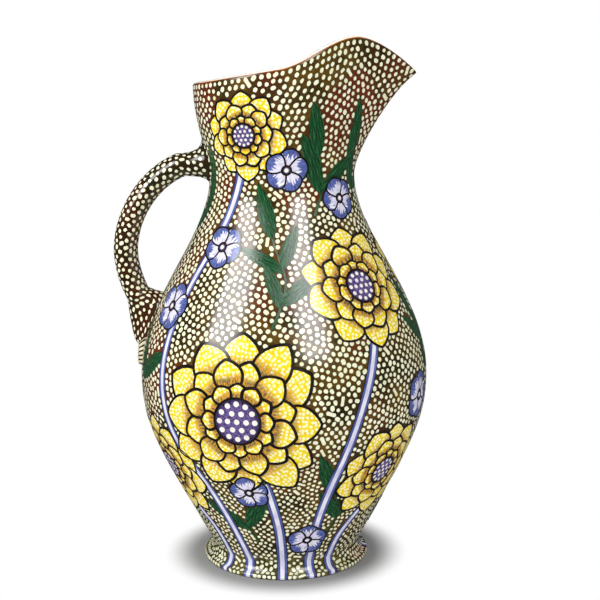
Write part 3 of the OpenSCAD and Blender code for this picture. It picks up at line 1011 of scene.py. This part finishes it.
def packed_dots(sheet, first, meeting, last, sizes_at, is_open):
    """Columns, rows and radii of dots, and their points, from the first and the last row to where they meet.

    Each dot takes the first place that is its pitch away from all others, so that rows nest in each other and
    close up to the motifs.
    """
    dots, points = np.zeros((0, 3)), np.zeros((0, 3))
    step = SCAN_STEP / sheet.height.mean()
    for row in [*np.arange(first, meeting, step), *np.arange(last, meeting, -step)]:
        columns = (np.arange(SCANS_PER_COLUMN * sheet.columns) + rng.random()) / SCANS_PER_COLUMN
        here = sheet.sample(sheet.points, columns, row)
        pitch, radius = sizes_at(here)
        wanted = pitch * rng.uniform(*PITCH_SPREAD, len(columns))
        near = points[np.abs(dots[:, 1] - row) < SCAN_REACH / sheet.height.min()]
        apart = (here**2).sum(axis=1)[:, None] + (near**2).sum(axis=1) - 2 * here @ near.T
        able = apart.min(axis=1, initial=np.inf) > wanted**2
        able[able] = is_open(columns[able], row, CLEAR_SHARE * radius[able])
        chosen = []
        for i in np.flatnonzero(able):
            if all(np.linalg.norm(here[i] - here[j]) > wanted[i] for j in chosen[-1:] + chosen[:1]):
                chosen.append(i)
        dots = np.concatenate([dots, coords(columns, row, radius)[chosen]])
        points = np.concatenate([points, here[chosen]])
    return dots, points


def run_together(sheet, dots, points, merged_share):
    """Join a few dots with their nearest. Gives columns, rows, radii, half lengths and tilts."""
    column, row, radius = dots.T.copy()
    count = len(dots)
    radius *= rng.uniform(*RADIUS_SPREAD, count)
    half = rng.choice(STRETCHES, count)
    tilt = rng.uniform(0, pi, count)
    joined, gone = np.zeros(count, bool), np.zeros(count, bool)
    for i in rng.choice(count, int(merged_share * count), replace=False):
        apart = np.linalg.norm(points - points[i], axis=1)
        apart[i] = np.inf
        j = np.argmin(apart)
        if joined[i] or joined[j]:
            continue
        joined[[i, j]] = gone[j] = True
        across = (column[j] - column[i] + sheet.columns / 2) % sheet.columns - sheet.columns / 2
        up = row[j] - row[i]
        width, height = sheet.cell_size(column[i], row[i])
        tilt[i] = np.arctan2(up * height, across * width)
        half[i] = apart[j] / 2
        column[i] += across / 2
        row[i] += up / 2
    return coords(column, row, radius, half, tilt)[~gone]


def dot_outlines(radius, half, tilt):
    """Uneven round outlines, drawn out along their tilt by their half lengths. Long ones have a waist."""
    a = 2 * pi * np.arange(DOT_SIDES) / DOT_SIDES
    side = np.sign(np.round(np.cos(a), 6))
    edge = radius[:, None] * rng.normal(1, DOT_UNEVENNESS, (len(radius), DOT_SIDES))
    waist = DOT_WAIST * np.clip(half / radius - 0.5, 0, 1)
    x = edge * np.cos(a) + side * half[:, None]
    y = edge * np.sin(a) * (1 - waist[:, None] * (side == 0))
    c, s = np.cos(tilt)[:, None], np.sin(tilt)[:, None]
    return coords(x * c - y * s, x * s + y * c)


def dot_piece(name, sheet, places, rings, material, slot):
    """One piece with a dot at each place. Dots with more rings follow a tighter curve."""
    column, row, radius, half, tilt = places.T
    paint = Paint()
    middles = np.zeros((len(places), 2))
    blobs(paint, sheet, column, row, dot_outlines(radius, half, tilt), middles, DOT_LEVEL, rings)
    paint.piece(name, material, slot)


def make_jug_dots(material):
    foot_row, belly_row = (spot(0, z)[1] for z in (FOOT_H, BELLY_Z))
    first, last = ROWS_PER_MM * LOW_MARGIN, JUG.rows - 1 - ROWS_PER_MM * TOP_MARGIN
    dots, points = packed_dots(JUG, first, foot_row, last, jug_dot_sizes, open_ground)
    places = run_together(JUG, dots, points, JUG_MERGED)
    stretches = [
        # name, first and last row, rings of a dot and slot
        ("foot_dots", 0, foot_row, 2, "olive_glaze"),
        ("lower_dots", foot_row, belly_row, 1, "brown_glaze"),
        ("shoulder_dots", belly_row, BODY_ROWS, 1, "brown_glaze"),
        ("neck_dots", BODY_ROWS, JUG.rows, 1, "brown_glaze"),
    ]
    for name, low, high, rings, slot in stretches:
        chosen = places[(places[:, 1] >= low) & (places[:, 1] < high)]
        dot_piece(name, JUG, chosen, rings, material, slot)


def make_strap_dots(material):
    strap = Sheet(handle_rings()[:-1].transpose(1, 0, 2)[::-1])
    last = strap.rows - STRAP_ROWS_LEFT
    dots, points = packed_dots(strap, STRAP_FIRST_ROW, STRAP_MEETING_ROW, last, strap_dot_sizes, anywhere)
    places = run_together(strap, dots, points, STRAP_MERGED)
    dot_piece("handle_dots", strap, places, rings=2, material=material, slot="handle_glaze")


# Colours


def tint(red, green, blue):
    """A colour as seen on screen, as the light it gives back."""
    seen = np.array([red, green, blue]) / 255
    light = np.where(seen <= 0.04045, seen / 12.92, ((seen + 0.055) / 1.055) ** 2.4)
    return (*light, 1.0)


# Stops of the clouds in the grounds, and the two reds of their patches
BROWN_STOPS = [
    (0.34, tint(36, 31, 4)), (0.46, tint(70, 50, 9)), (0.54, tint(96, 70, 15)), (0.66, tint(50, 42, 5)),
]
OLIVE_STOPS = [
    (0.36, tint(58, 56, 14)), (0.50, tint(100, 90, 28)), (0.60, tint(60, 54, 16)), (0.67, tint(104, 48, 16)),
]
HANDLE_STOPS = [
    (0.34, tint(24, 19, 3)), (0.48, tint(46, 30, 4)), (0.58, tint(38, 27, 4)), (0.66, tint(32, 27, 4)),
]
LEAF_STOPS = [(0.30, tint(6, 46, 22)), (0.52, tint(16, 70, 36)), (0.72, tint(54, 112, 66))]
BROWN_REDS = tint(114, 47, 17), tint(68, 31, 9)
HANDLE_REDS = tint(82, 34, 8), tint(40, 19, 4)

# Pairs that an enamel or the clay is clouded with
INSIDE_WHITES = tint(240, 237, 226), tint(230, 226, 212)
RIM_BROWNS = tint(112, 58, 24), tint(196, 112, 58)
CLAYS = tint(214, 196, 166), tint(188, 166, 134)
DOT_CREAMS = tint(238, 238, 208), tint(226, 228, 192)
SEED_WHITES = tint(240, 238, 226), tint(224, 220, 214)
LINE_BLACKS = tint(16, 12, 10), tint(40, 30, 22)
YELLOWS = tint(246, 222, 22), tint(226, 194, 16)
OCHRES = tint(206, 150, 44), tint(92, 82, 60)
VIOLETS = tint(112, 92, 150), tint(66, 50, 104)
LILACS = tint(236, 234, 244), tint(196, 192, 222)
INDIGOS = tint(58, 66, 122), tint(92, 108, 176)
RIDGE_CREAMS = tint(236, 232, 200), tint(206, 196, 160)
GROOVE_BROWNS = tint(44, 28, 12), tint(84, 44, 18)
PALE_STIPPLE, DARK_VIOLET, STEM_EDGE = tint(248, 244, 200), tint(46, 34, 74), tint(22, 18, 30)

# Materials. Pairs of numbers are where a smooth step starts and ends, or the values that it runs between.

GLAZE_ROUGHNESS, CLAY_ROUGHNESS, GLAZE_IOR = (0.14, 0.22), (0.75, 0.85), 1.7
RELIEF_HEIGHT, GLAZE_RELIEF, BRUSH_RELIEF = 0.0004, 0.06, 0.35
RED_PATCHES, RED_HEIGHTS = (0.48, 0.60), (0.03, 0.12)
OLIVE_HEIGHTS, OLIVE_DRIFT, GRAIN = (0.011, 0.021), 0.012, (0.72, 1.12)
SOFT, MEDIUM = (0.3, 0.7), (0.35, 0.65)
STIPPLE_EDGE, DARK_STROKES, PETAL_FADE, PETAL_UNEVENNESS = (0.30, 0.38), (0.46, 0.56), (0.74, 0.92), 0.5
BLUE_FADE, BLUE_UNEVENNESS, CENTRE_FADE = (0.68, 0.82), 0.4, (0.6, 1.0)
BAND_FADE, EDGE_FADE, GROOVE_FADE = (0.34, 0.46), (0.82, 0.9), (0.22, 0.34)


class NodeTree:
    """Nodes of a material or of the world."""

    def __init__(self, tree):
        self.tree = tree

    def put(self, socket, value):
        """Link a node's output to a socket, or give the socket a value."""
        if isinstance(value, bpy.types.NodeSocket):
            self.tree.links.new(value, socket)
        else:
            socket.default_value = value

    def node(self, kind, inputs=None, **settings):
        """Outputs of a new node with these settings. Its inputs are told by name or number."""
        made = self.tree.nodes.new("ShaderNode" + kind)
        for name, value in settings.items():
            setattr(made, name, value)
        for name, value in (inputs or {}).items():
            self.put(made.inputs[name], value)
        return made.outputs

    def math(self, operation, *values):
        return self.node("Math", dict(enumerate(values)), operation=operation)[0]


class Shader(NodeTree):
    """A material under construction."""

    def __init__(self, name):
        self.material = bpy.data.materials.new(name)
        self.material.use_nodes = True
        super().__init__(self.material.node_tree)
        self.surface = self.tree.nodes["Principled BSDF"]

    def place(self):
        return self.node("TexCoord")["Object"]

    def own(self):
        return self.node("Attribute", attribute_name="own")["Vector"]

    def parts(self, vector):
        return self.node("SeparateXYZ", {"Vector": vector})

    def noise(self, vector, scale, detail=2.0):
        return self.node("TexNoise", {"Vector": vector, "Scale": scale, "Detail": detail})["Fac"]

    def flat(self, own, across=1.0, along=1.0):
        """A film's own X and Y, stretched."""
        return self.node("VectorMath", {0: own, 1: (across, along, 0.0)}, operation="MULTIPLY")[0]

    def strokes(self, own, across, along, detail=3.0):
        """Brush strokes along a film."""
        return self.noise(self.flat(own, across, along), 1.0, detail)

    def between(self, value, low, high, first=0.0, last=1.0):
        """A smooth step from the first number to the last, while the value goes from low to high."""
        ends = {"From Min": low, "From Max": high, "To Min": first, "To Max": last}
        return self.node("MapRange", {"Value": value, **ends}, interpolation_type="SMOOTHSTEP")["Result"]

    def blend(self, share, first, second, kind="MIX"):
        return self.node("Mix", {"Factor": share, 6: first, 7: second}, data_type="RGBA", blend_type=kind)[2]

    def ramp(self, value, stops):
        colour = self.node("ValToRGB", {"Fac": value})["Color"]
        steps = colour.node.color_ramp.elements
        while len(steps) < len(stops):
            steps.new(0.5)
        for step, (place, tone) in zip(steps, stops):
            step.position = place
            step.color = tone
        return colour

    def finish(self, colour, roughness=GLAZE_ROUGHNESS, relief=None, depth=GLAZE_RELIEF):
        """Colour, roughness that varies, and the relief of an uneven glaze or of brush strokes."""
        rough = self.between(self.noise(self.place(), scale=90.0), *SOFT, *roughness)
        height = self.noise(self.place(), scale=240.0) if relief is None else relief
        bump = self.node("Bump", {"Height": height, "Strength": depth, "Distance": RELIEF_HEIGHT})[0]
        surface = {"Base Color": colour, "Roughness": rough, "Normal": bump, "IOR": GLAZE_IOR}
        for name, value in surface.items():
            self.put(self.surface.inputs[name], value)
        return self.material


def ground_glaze(name, stops, reds, low_stops=None):
    """A mottled glaze: broad red patches, clouds of colours and a fine grain.

    Low stops, if any, colour it near the foot.
    """
    shader = Shader(name)
    place = shader.place()
    drift = shader.noise(place, scale=32.0, detail=3.0)
    height = shader.parts(place)[2]
    patches = shader.between(shader.noise(place, scale=23.0), *RED_PATCHES)
    red = shader.math("MULTIPLY", patches, shader.between(height, *RED_HEIGHTS))
    clouds = shader.blend(red, shader.ramp(drift, stops), shader.blend(drift, *reds))
    if low_stops:
        height = shader.math("MULTIPLY_ADD", drift, OLIVE_DRIFT, height)
        clouds = shader.blend(shader.between(height, *OLIVE_HEIGHTS), shader.ramp(drift, low_stops), clouds)
    grain = shader.between(shader.noise(place, scale=420.0, detail=3.0), *SOFT, *GRAIN)
    grey = shader.node("CombineColor", {"Red": grain, "Green": grain, "Blue": grain})[0]
    return shader.finish(shader.blend(1.0, clouds, grey, "MULTIPLY"))


def clouded(name, pair, scale=160.0, detail=2.0, edges=MEDIUM, roughness=GLAZE_ROUGHNESS):
    """An enamel, or the bare clay, in clouds of two colours."""
    shader = Shader(name)
    clouds = shader.between(shader.noise(shader.place(), scale, detail), *edges)
    return shader.finish(shader.blend(clouds, *pair), roughness)


def petal_enamel():
    """Yellow, stippled with pale dots, and ochre with dark strokes towards the base."""
    shader = Shader("petal_enamel")
    own = shader.own()
    dots = {"Vector": shader.flat(own), "Scale": 0.46, "Randomness": 0.5}
    from_dot = shader.node("TexVoronoi", dots, voronoi_dimensions="2D")["Distance"]
    pale = shader.between(from_dot, *STIPPLE_EDGE, first=1.0, last=0.0)
    strokes = shader.strokes(own, across=1.1, along=0.25)
    yellow = shader.blend(shader.between(strokes, *MEDIUM), *YELLOWS)
    dotted = shader.blend(pale, yellow, PALE_STIPPLE)
    dark = shader.blend(shader.between(strokes, *DARK_STROKES), *OCHRES)
    uneven_share = shader.math("MULTIPLY_ADD", strokes, PETAL_UNEVENNESS, shader.parts(own)[2])
    return shader.finish(shader.blend(shader.between(uneven_share, *PETAL_FADE), dark, dotted))


def centre_enamel():
    """Violet, darker towards the edge."""
    shader = Shader("centre_enamel")
    own = shader.own()
    patches = shader.between(shader.noise(shader.flat(own), scale=0.7), *MEDIUM)
    rim = shader.between(shader.parts(own)[2], *CENTRE_FADE)
    return shader.finish(shader.blend(rim, shader.blend(patches, *VIOLETS), DARK_VIOLET))


def leaf_enamel():
    """Dark green in brush strokes along the leaf."""
    shader = Shader("leaf_enamel")
    strokes = shader.strokes(shader.own(), across=1.3, along=0.14)
    bristles = shader.strokes(shader.own(), across=2.6, along=0.9, detail=2.0)
    return shader.finish(shader.ramp(strokes, LEAF_STOPS), relief=bristles, depth=BRUSH_RELIEF)


def blue_enamel():
    """Pale lilac inside and indigo towards the petal's tip, in brush strokes."""
    shader = Shader("blue_enamel")
    own = shader.own()
    strokes = shader.between(shader.strokes(own, across=0.9, along=0.2), *SOFT)
    uneven_share = shader.math("MULTIPLY_ADD", strokes, BLUE_UNEVENNESS, shader.parts(own)[2])
    tip = shader.between(uneven_share, *BLUE_FADE)
    return shader.finish(shader.blend(tip, shader.blend(strokes, *LILACS), shader.blend(strokes, *INDIGOS)))


def stem_enamel():
    """Indigo with a pale band down the middle and a dark edge, in brush strokes."""
    shader = Shader("stem_enamel")
    own = shader.own()
    strokes = shader.between(shader.strokes(own, across=0.8, along=0.1), *SOFT)
    away = shader.math("ABSOLUTE", shader.parts(own)[0])
    side = shader.between(away, *BAND_FADE)
    banded = shader.blend(side, shader.blend(strokes, *LILACS), shader.blend(strokes, *INDIGOS))
    return shader.finish(shader.blend(shader.between(away, *EDGE_FADE), banded, STEM_EDGE))


def tail_enamel():
    """Cream ridges and dark grooves, told by the share along the tail."""
    shader = Shader("tail_enamel")
    ridge = shader.math("MULTIPLY", shader.parts(shader.own())[0], float(RIDGES))
    groove = shader.between(shader.math("PINGPONG", ridge, 0.5), *GROOVE_FADE)
    clouds = shader.between(shader.noise(shader.place(), scale=200.0), *MEDIUM)
    cream, brown = (shader.blend(clouds, *pair) for pair in (RIDGE_CREAMS, GROOVE_BROWNS))
    return shader.finish(shader.blend(groove, cream, brown))


def build_jug():
    brown = ground_glaze("brown_ground", BROWN_STOPS, BROWN_REDS, OLIVE_STOPS)
    strap = ground_glaze("handle_ground", HANDLE_STOPS, HANDLE_REDS)
    inside = clouded("inside_glaze", INSIDE_WHITES)
    rim = clouded("rim_line", RIM_BROWNS)
    clay = clouded("bare_clay", CLAYS, scale=300.0, detail=4.0, edges=SOFT, roughness=CLAY_ROUGHNESS)
    make_foot(brown, clay)
    make_floor(inside, clay)
    floor_edge = [inset(bezier(LOWER_CURVE, FINE), WALL)[0, 0], FOOT_H]
    make_body("lower_body", LOWER_CURVE, LOWER_ROWS, [floor_edge], [brown, inside, clay])
    make_body("shoulder", SHOULDER_CURVE, SHOULDER_ROWS, np.zeros((0, 2)), [brown, inside, clay])
    make_neck("neck", SPOUT_ANGLE, 360 - SPOUT_ANGLE, NECK_COLUMNS, [brown, rim, inside, clay])
    make_neck("spout", -SPOUT_ANGLE, SPOUT_ANGLE, SPOUT_COLUMNS, [brown, rim, inside, clay])
    lofted_piece("handle", handle_rings(), strap)
    lofted_piece("handle_tail", tail_rings(), tail_enamel(), TAIL_SHARES)
    paint_motifs()
    cream = clouded("dot_enamel", DOT_CREAMS)
    make_jug_dots(cream)
    make_strap_dots(cream)
    enamels = {
        "petals": petal_enamel(),
        "outlines": clouded("outline_enamel", LINE_BLACKS, scale=120.0),
        "centres": centre_enamel(),
        "seeds": clouded("seed_enamel", SEED_WHITES),
        "leaves": leaf_enamel(),
        "twigs": leaf_enamel(),
        "blue_petals": blue_enamel(),
        "stems": stem_enamel(),
    }
    for name, enamel in enamels.items():
        paints[name].piece(name, enamel, "brown_glaze")


# Studio

WORLD_LIGHT, BACKDROP_IN_GLAZE = 0.05, 0.07
# Near the jug the camera sees the floor darker than the light it gives back: a painted shadow on top of the
# real one, fading to white over SHADOW_FADES
FLOOR_HALF, FLOOR_LIGHT, FLOOR_PAINTED_SHADOW = 3.0, 0.94, 0.3
SHADOW_FADES = (0.049, 0.071)
PLAIN_WHITE = (1, 1, 1, 1)
LAMPS = [
    # name, place, target, width, height, power and whether the glaze mirrors it
    ("left_window", (-0.63, -0.44, 0.80), (0, 0, 0.16), 0.42, 0.8, 7.3, True),
    ("right_window", (0.35, -0.68, 0.80), (0, 0, 0.16), 0.36, 0.8, 6.0, True),
    ("left_fill", (-0.97, 0.22, 0.48), (0, 0, 0.08), 1.2, 0.9, 3.4, False),
    ("right_fill", (0.97, 0.22, 0.48), (0, 0, 0.08), 1.2, 0.9, 1.9, False),
    ("low_fill", (-0.35, -0.95, 0.14), (0, 0, 0.05), 1.2, 0.2, 1.6, False),
    ("back", (-0.15, 0.95, 0.6), (0, 0, 0.14), 1.2, 0.9, 4.0, False),
    ("top", (0.05, 0.2, 1.3), (0, 0, 0.1), 0.7, 0.7, 4.0, False),
]
LENS, SENSOR = 77.13, 36.0
CAMERA_PLACE, CAMERA_FALL, CAMERA_ROLL = (0.00924, -0.7047, 0.2787), 10.64, -0.49


def floor_material():
    """Dark grey to the camera near the jug, a painted shadow over the real one; white further out, dim in a
    glaze.
    """
    shader = Shader("floor")
    path = shader.node("LightPath")
    # Painted shadow: camera rays see the floor's grey darkened near the jug, while other rays see FLOOR_LIGHT
    grey = shader.math("MULTIPLY_ADD", path["Is Camera Ray"], FLOOR_PAINTED_SHADOW - FLOOR_LIGHT, FLOOR_LIGHT)
    diffuse = shader.node("BsdfDiffuse", {"Color": grey})[0]
    distance = shader.node("VectorMath", {0: shader.place()}, operation="LENGTH")["Value"]
    seen = shader.math("MAXIMUM", path["Is Camera Ray"], path["Is Transmission Ray"])
    seen_far = shader.math("MULTIPLY", seen, shader.between(distance, *SHADOW_FADES))
    share = shader.math("MAXIMUM", seen_far, path["Is Glossy Ray"])
    strength = shader.math("MULTIPLY_ADD", path["Is Glossy Ray"], BACKDROP_IN_GLAZE - 1, 1.0)
    glow = shader.node("Emission", {"Color": PLAIN_WHITE, "Strength": strength})[0]
    both = shader.node("MixShader", {"Fac": share, 1: diffuse, 2: glow})[0]
    shader.put(shader.tree.nodes["Material Output"].inputs["Surface"], both)
    shader.tree.nodes.remove(shader.surface)
    return shader.material


def white_floor():
    mesh = bpy.data.meshes.new("floor")
    corners = [(FLOOR_HALF * x, FLOOR_HALF * y, 0) for x, y in ((-1, -1), (1, -1), (1, 1), (-1, 1))]
    mesh.from_pydata(corners, [], [(0, 1, 2, 3)])
    mesh.materials.append(floor_material())
    floor = bpy.data.objects.new("floor", mesh)
    bpy.context.scene.collection.objects.link(floor)


def white_world():
    """White where it is seen, dim where a glaze mirrors it, and a faint even light on everything else."""
    world = bpy.data.worlds.new("studio")
    world.use_nodes = True
    bpy.context.scene.world = world
    nodes = NodeTree(world.node_tree)
    path = nodes.node("LightPath")
    seen = nodes.math("MAXIMUM", path["Is Camera Ray"], path["Is Transmission Ray"])
    level = nodes.math("MULTIPLY_ADD", seen, 1 - WORLD_LIGHT, WORLD_LIGHT)
    level = nodes.math("MULTIPLY_ADD", path["Is Glossy Ray"], BACKDROP_IN_GLAZE - WORLD_LIGHT, level)
    background = nodes.tree.nodes["Background"].inputs
    nodes.put(background["Color"], PLAIN_WHITE)
    nodes.put(background["Strength"], level)


def soft_light(name, place, target, width, height, power, mirrored):
    """A broad lamp. The glaze mirrors only the windows, and the other lamps just fill in their shadows."""
    light = bpy.data.lights.new(name, "AREA")
    light.shape = "RECTANGLE"
    light.size, light.size_y = width, height
    light.energy = power
    lamp = bpy.data.objects.new(name, light)
    lamp.visible_glossy = mirrored
    bpy.context.scene.collection.objects.link(lamp)
    lamp.location = place
    lamp.rotation_euler = (Vector(target) - Vector(place)).to_track_quat("-Z", "Y").to_euler()


def studio():
    white_floor()
    white_world()
    for lamp in LAMPS:
        soft_light(*lamp)
    bpy.context.scene.view_settings.view_transform = "Standard"


def photo_camera():
    data = bpy.data.cameras.new("camera")
    data.lens, data.sensor_width = LENS, SENSOR
    camera = bpy.data.objects.new("camera", data)
    bpy.context.scene.collection.objects.link(camera)
    pitch = Matrix.Rotation(radians(90 - CAMERA_FALL), 4, "X")
    roll = Matrix.Rotation(radians(CAMERA_ROLL), 4, "Z")
    camera.matrix_world = Matrix.Translation(CAMERA_PLACE) @ pitch @ roll
    bpy.context.scene.camera = camera


build_jug()
studio()
photo_camera()
